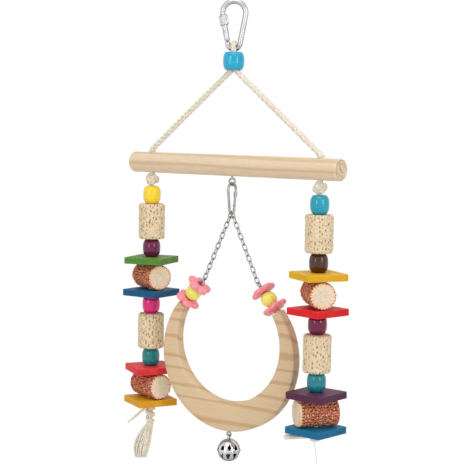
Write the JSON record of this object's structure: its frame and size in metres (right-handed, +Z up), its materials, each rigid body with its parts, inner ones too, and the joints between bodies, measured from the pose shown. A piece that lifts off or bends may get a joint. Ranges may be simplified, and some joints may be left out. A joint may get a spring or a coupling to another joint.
{
  "type": "bird swing",
  "caption": "Hanging bird swing: carabiner, cotton rope and wooden perch, two strings of dyed beads, cobs and plates, and a crescent ring on chains with a round bell.",
  "frame": {"origin": "the point on the inner side of the carabiner's crown that rests on the cage bar or hook", "axes": "+X along the perch dowel, +Z up, -Y the front, with the swing hanging at rest below the origin"},
  "size_m": [0.2594, 0.0556, 0.4472],
  "materials": {
    "chrome_steel": "polished",
    "zinc_steel": "satin",
    "cotton_rope": "matte",
    "pine": "sanded",
    "tan_cob": "rough",
    "red_cob": "rough",
    "pink_plastic": "satin",
    "lime_plastic": "gloss",
    "turquoise_dye": "gloss",
    "yellow_dye": "satin",
    "plum_dye": "gloss",
    "green_dye": "satin",
    "blue_dye": "satin",
    "magenta_dye": "gloss",
    "teal_dye": "gloss",
    "red_dye": "satin",
    "ochre_dye": "satin",
    "brown_dye": "gloss",
    "purple_dye": "satin"
  },
  "bodies": {
    "carabiner": {"carabiner_body": "chrome_steel", "carabiner_hinge_pin": "zinc_steel"},
    "carabiner_gate": {"carabiner_gate": "chrome_steel"},
    "lock_sleeve": {"carabiner_lock_sleeve": "zinc_steel"},
    "hanger": {"hanger_rope": "cotton_rope", "perch_dowel": "pine", "perch_screw_eye": "chrome_steel", "upper_knots": "cotton_rope"},
    "top_bead": {"top_bead": "turquoise_dye"},
    "snap_link": {"snap_link_body": "chrome_steel", "snap_link_pin": "zinc_steel"},
    "snap_gate": {"snap_link_gate": "chrome_steel"},
    "swing": {"left_chain": "chrome_steel", "right_chain": "chrome_steel", "swing_ring": "pine", "stack_screw_eyes": "chrome_steel", "bell_screw_eye": "chrome_steel"},
    "bell": {"bell_upper_shell": "chrome_steel", "bell_lower_shell": "chrome_steel"},
    "bell_ball": {"bell_ball": "zinc_steel"},
    "left_lower_flower": {"left_lower_flower": "pink_plastic"},
    "left_lime_bead": {"left_lime_bead": "lime_plastic"},
    "left_upper_flower": {"left_upper_flower": "pink_plastic"},
    "right_lower_flower": {"right_lower_flower": "pink_plastic"},
    "right_lime_bead": {"right_lime_bead": "lime_plastic"},
    "right_upper_flower": {"right_upper_flower": "pink_plastic"},
    "left_rope_neck": {"left_rope_neck": "cotton_rope"},
    "left_string": {"left_string": "cotton_rope", "left_tassel": "cotton_rope"},
    "left_yellow_bead": {"left_yellow_bead": "yellow_dye"},
    "left_upper_tan_cob": {"left_upper_tan_cob": "tan_cob"},
    "left_plum_bead": {"left_plum_bead": "plum_dye"},
    "left_green_plate": {"left_green_plate": "green_dye"},
    "left_upper_red_cob": {"left_upper_red_cob": "red_cob"},
    "left_blue_plate": {"left_blue_plate": "blue_dye"},
    "left_magenta_bead": {"left_magenta_bead": "magenta_dye"},
    "left_lower_tan_cob": {"left_lower_tan_cob": "tan_cob"},
    "left_teal_bead": {"left_teal_bead": "teal_dye"},
    "left_red_plate": {"left_red_plate": "red_dye"},
    "left_lower_red_cob": {"left_lower_red_cob": "red_cob"},
    "left_ochre_plate": {"left_ochre_plate": "ochre_dye"},
    "right_rope_neck": {"right_rope_neck": "cotton_rope"},
    "right_string": {"right_string": "cotton_rope", "right_tassel": "cotton_rope"},
    "right_turquoise_bead": {"right_turquoise_bead": "turquoise_dye"},
    "right_upper_tan_cob": {"right_upper_tan_cob": "tan_cob"},
    "right_brown_bead": {"right_brown_bead": "brown_dye"},
    "right_yellow_plate": {"right_yellow_plate": "yellow_dye"},
    "right_upper_red_cob": {"right_upper_red_cob": "red_cob"},
    "right_red_plate": {"right_red_plate": "red_dye"},
    "right_purple_bead": {"right_purple_bead": "purple_dye"},
    "right_lower_tan_cob": {"right_lower_tan_cob": "tan_cob"},
    "right_teal_bead": {"right_teal_bead": "teal_dye"},
    "right_purple_plate": {"right_purple_plate": "purple_dye"},
    "right_lower_red_cob": {"right_lower_red_cob": "red_cob"},
    "right_blue_plate": {"right_blue_plate": "blue_dye"}
  },
  "joints": [
    {"name": "gate_open", "type": "hinge", "parent": "carabiner", "child": "carabiner_gate", "pos_m": [-0.00548, -0.00369, -0.03332], "axis": [-0.5592, 0.829, 0], "range_deg": [0, 25], "stiffness_Nm_per_rad": 0.02, "springref_deg": -20.05},
    {"name": "sleeve_lock", "type": "slide", "parent": "carabiner_gate", "child": "lock_sleeve", "axis": [-0.1505, -0.1015, 0.9834], "range_m": [0, 0.003]},
    {"name": "hanger_swing", "type": "hinge", "parent": "carabiner", "child": "hanger", "pos_m": [0, 0, -0.0425], "axis": [0.829, 0.5592, 0], "range_deg": [-30, 30]},
    {"name": "left_string_side", "type": "hinge", "parent": "hanger", "child": "left_rope_neck", "pos_m": [-0.102, 0, -0.1705], "axis": [0, 1, 0], "range_deg": [-0.5, 20]},
    {"name": "left_string_swing", "type": "hinge", "parent": "left_rope_neck", "child": "left_string", "pos_m": [-0.102, 0, -0.1705], "axis": [1, 0, 0], "range_deg": [-20, 20]},
    {"name": "right_string_side", "type": "hinge", "parent": "hanger", "child": "right_rope_neck", "pos_m": [0.102, 0, -0.1705], "axis": [0, 1, 0], "range_deg": [-20, 2]},
    {"name": "right_string_swing", "type": "hinge", "parent": "right_rope_neck", "child": "right_string", "pos_m": [0.102, 0, -0.1705], "axis": [1, 0, 0], "range_deg": [-20, 20]},
    {"name": "swing_fore_aft", "type": "hinge", "parent": "hanger", "child": "snap_link", "pos_m": [0, 0, -0.17265], "axis": [1, 0, 0], "range_deg": [-35, 35]},
    {"name": "swing_side", "type": "hinge", "parent": "snap_link", "child": "swing", "pos_m": [0, 0, -0.19939], "axis": [0, 1, 0], "range_deg": [-2.5, 0.5]},
    {"name": "snap_gate_open", "type": "hinge", "parent": "snap_link", "child": "snap_gate", "pos_m": [0, 0.00403, -0.19243], "axis": [1, 0, 0], "range_deg": [0, 22], "stiffness_Nm_per_rad": 0.004, "springref_deg": -17.19},
    {"name": "bell_swing", "type": "hinge", "parent": "swing", "child": "bell", "pos_m": [0, 0, -0.4178], "axis": [0.9945, 0.1045, 0], "range_deg": [-35, 35]},
    {"name": "bell_ball_jump", "type": "slide", "parent": "bell", "child": "bell_ball", "axis": [0, 0, 1], "range_m": [0, 0.012]},
    {"name": "top_bead_spin", "type": "hinge", "parent": "hanger", "child": "top_bead", "pos_m": [0, 0, -0.0539], "axis": [0, 0, 1], "continuous": true},
    {"name": "left_lower_flower_spin", "type": "hinge", "parent": "swing", "child": "left_lower_flower", "pos_m": [-0.05262, -0.00618, -0.29147], "axis": [0.6498, 0.0683, 0.757], "continuous": true},
    {"name": "left_lime_bead_spin", "type": "hinge", "parent": "swing", "child": "left_lime_bead", "pos_m": [-0.05262, -0.00618, -0.29147], "axis": [0.6498, 0.0683, 0.757], "continuous": true},
    {"name": "left_upper_flower_spin", "type": "hinge", "parent": "swing", "child": "left_upper_flower", "pos_m": [-0.05262, -0.00618, -0.29147], "axis": [0.6498, 0.0683, 0.757], "continuous": true},
    {"name": "right_lower_flower_spin", "type": "hinge", "parent": "swing", "child": "right_lower_flower", "pos_m": [0.05262, 0.00618, -0.29147], "axis": [-0.6498, -0.0683, 0.757], "continuous": true},
    {"name": "right_lime_bead_spin", "type": "hinge", "parent": "swing", "child": "right_lime_bead", "pos_m": [0.05262, 0.00618, -0.29147], "axis": [-0.6498, -0.0683, 0.757], "continuous": true},
    {"name": "right_upper_flower_spin", "type": "hinge", "parent": "swing", "child": "right_upper_flower", "pos_m": [0.05262, 0.00618, -0.29147], "axis": [-0.6498, -0.0683, 0.757], "continuous": true},
    {"name": "left_green_plate_spin", "type": "hinge", "parent": "left_string", "child": "left_green_plate", "pos_m": [-0.102, 0, -0.2305], "axis": [0, 0, 1], "continuous": true},
    {"name": "left_upper_red_cob_spin", "type": "hinge", "parent": "left_string", "child": "left_upper_red_cob", "pos_m": [-0.102, 0, -0.2305], "axis": [0, 0, 1], "continuous": true},
    {"name": "left_blue_plate_spin", "type": "hinge", "parent": "left_string", "child": "left_blue_plate", "pos_m": [-0.102, 0, -0.2305], "axis": [0, 0, 1], "continuous": true},
    {"name": "left_red_plate_spin", "type": "hinge", "parent": "left_string", "child": "left_red_plate", "pos_m": [-0.102, 0, -0.2305], "axis": [0, 0, 1], "continuous": true},
    {"name": "left_lower_red_cob_spin", "type": "hinge", "parent": "left_string", "child": "left_lower_red_cob", "pos_m": [-0.102, 0, -0.2305], "axis": [0, 0, 1], "continuous": true},
    {"name": "left_ochre_plate_spin", "type": "hinge", "parent": "left_string", "child": "left_ochre_plate", "pos_m": [-0.102, 0, -0.2305], "axis": [0, 0, 1], "continuous": true},
    {"name": "left_yellow_bead_spin", "type": "hinge", "parent": "left_string", "child": "left_yellow_bead", "pos_m": [-0.102, 0, -0.2305], "axis": [0, 0, 1], "continuous": true},
    {"name": "left_upper_tan_cob_spin", "type": "hinge", "parent": "left_string", "child": "left_upper_tan_cob", "pos_m": [-0.102, 0, -0.2305], "axis": [0, 0, 1], "continuous": true},
    {"name": "left_plum_bead_spin", "type": "hinge", "parent": "left_string", "child": "left_plum_bead", "pos_m": [-0.102, 0, -0.2305], "axis": [0, 0, 1], "continuous": true},
    {"name": "left_magenta_bead_spin", "type": "hinge", "parent": "left_string", "child": "left_magenta_bead", "pos_m": [-0.102, 0, -0.2305], "axis": [0, 0, 1], "continuous": true},
    {"name": "left_lower_tan_cob_spin", "type": "hinge", "parent": "left_string", "child": "left_lower_tan_cob", "pos_m": [-0.102, 0, -0.2305], "axis": [0, 0, 1], "continuous": true},
    {"name": "left_teal_bead_spin", "type": "hinge", "parent": "left_string", "child": "left_teal_bead", "pos_m": [-0.102, 0, -0.2305], "axis": [0, 0, 1], "continuous": true},
    {"name": "right_yellow_plate_spin", "type": "hinge", "parent": "right_string", "child": "right_yellow_plate", "pos_m": [0.102, 0, -0.2305], "axis": [0, 0, 1], "continuous": true},
    {"name": "right_upper_red_cob_spin", "type": "hinge", "parent": "right_string", "child": "right_upper_red_cob", "pos_m": [0.102, 0, -0.2305], "axis": [0, 0, 1], "continuous": true},
    {"name": "right_red_plate_spin", "type": "hinge", "parent": "right_string", "child": "right_red_plate", "pos_m": [0.102, 0, -0.2305], "axis": [0, 0, 1], "continuous": true},
    {"name": "right_purple_plate_spin", "type": "hinge", "parent": "right_string", "child": "right_purple_plate", "pos_m": [0.102, 0, -0.2305], "axis": [0, 0, 1], "continuous": true},
    {"name": "right_lower_red_cob_spin", "type": "hinge", "parent": "right_string", "child": "right_lower_red_cob", "pos_m": [0.102, 0, -0.2305], "axis": [0, 0, 1], "continuous": true},
    {"name": "right_blue_plate_spin", "type": "hinge", "parent": "right_string", "child": "right_blue_plate", "pos_m": [0.102, 0, -0.2305], "axis": [0, 0, 1], "continuous": true},
    {"name": "right_turquoise_bead_spin", "type": "hinge", "parent": "right_string", "child": "right_turquoise_bead", "pos_m": [0.102, 0, -0.2305], "axis": [0, 0, 1], "continuous": true},
    {"name": "right_upper_tan_cob_spin", "type": "hinge", "parent": "right_string", "child": "right_upper_tan_cob", "pos_m": [0.102, 0, -0.2305], "axis": [0, 0, 1], "continuous": true},
    {"name": "right_brown_bead_spin", "type": "hinge", "parent": "right_string", "child": "right_brown_bead", "pos_m": [0.102, 0, -0.2305], "axis": [0, 0, 1], "continuous": true},
    {"name": "right_purple_bead_spin", "type": "hinge", "parent": "right_string", "child": "right_purple_bead", "pos_m": [0.102, 0, -0.2305], "axis": [0, 0, 1], "continuous": true},
    {"name": "right_lower_tan_cob_spin", "type": "hinge", "parent": "right_string", "child": "right_lower_tan_cob", "pos_m": [0.102, 0, -0.2305], "axis": [0, 0, 1], "continuous": true},
    {"name": "right_teal_bead_spin", "type": "hinge", "parent": "right_string", "child": "right_teal_bead", "pos_m": [0.102, 0, -0.2305], "axis": [0, 0, 1], "continuous": true}
  ]
}
